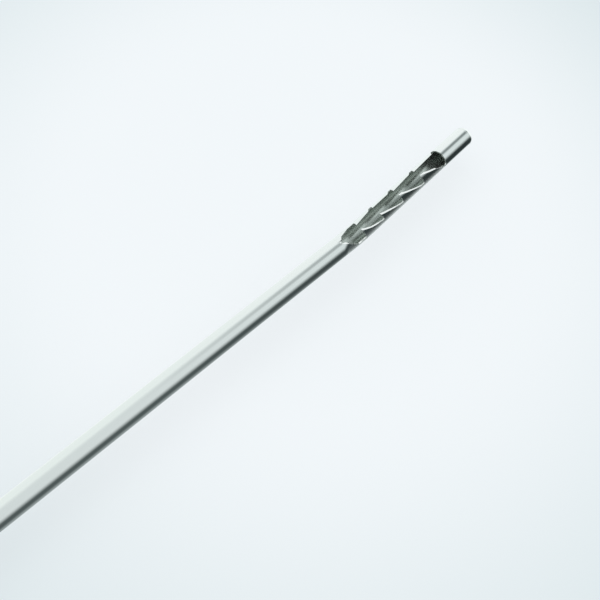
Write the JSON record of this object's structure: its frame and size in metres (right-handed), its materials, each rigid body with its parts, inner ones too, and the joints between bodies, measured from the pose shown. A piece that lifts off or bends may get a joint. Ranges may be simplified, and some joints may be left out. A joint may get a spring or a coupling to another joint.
{
  "type": "suction cannula",
  "caption": "Slender steel suction cannula with a closed tip, a toothed side window, a conical lock hub with a finger plate, and a stylet with a spinning lock collar.",
  "frame": {"origin": "centre of the conical socket's mouth, on the hub's rear face", "axes": "+X along the shaft towards the closed tip; +Z the side that the toothed window and the finger plate face; +Y the side that the shaft's slight bend leans to"},
  "size_m": [0.2455, 0.013, 0.0124],
  "materials": {
    "polished_steel": "mirror-polished stainless steel",
    "satin_steel": "satin stainless steel"
  },
  "bodies": {
    "cannula": {"shaft_tube": "polished_steel", "tip_plug": "polished_steel", "reinforcing_sleeve": "polished_steel", "hub_body": "satin_steel", "finger_plate": "satin_steel"},
    "stylet": {"stylet_rod": "polished_steel", "stylet_cone": "satin_steel", "stylet_knob": "satin_steel"},
    "collar": {"lock_collar": "satin_steel"}
  },
  "joints": [
    {"name": "stylet_slide", "type": "slide", "parent": "cannula", "child": "stylet", "axis": [-1, 0, 0], "range_m": [0, 0.185]},
    {"name": "collar_spin", "type": "hinge", "parent": "stylet", "child": "collar", "pos_m": [0, 0, 0], "axis": [1, 0, 0], "continuous": true}
  ]
}
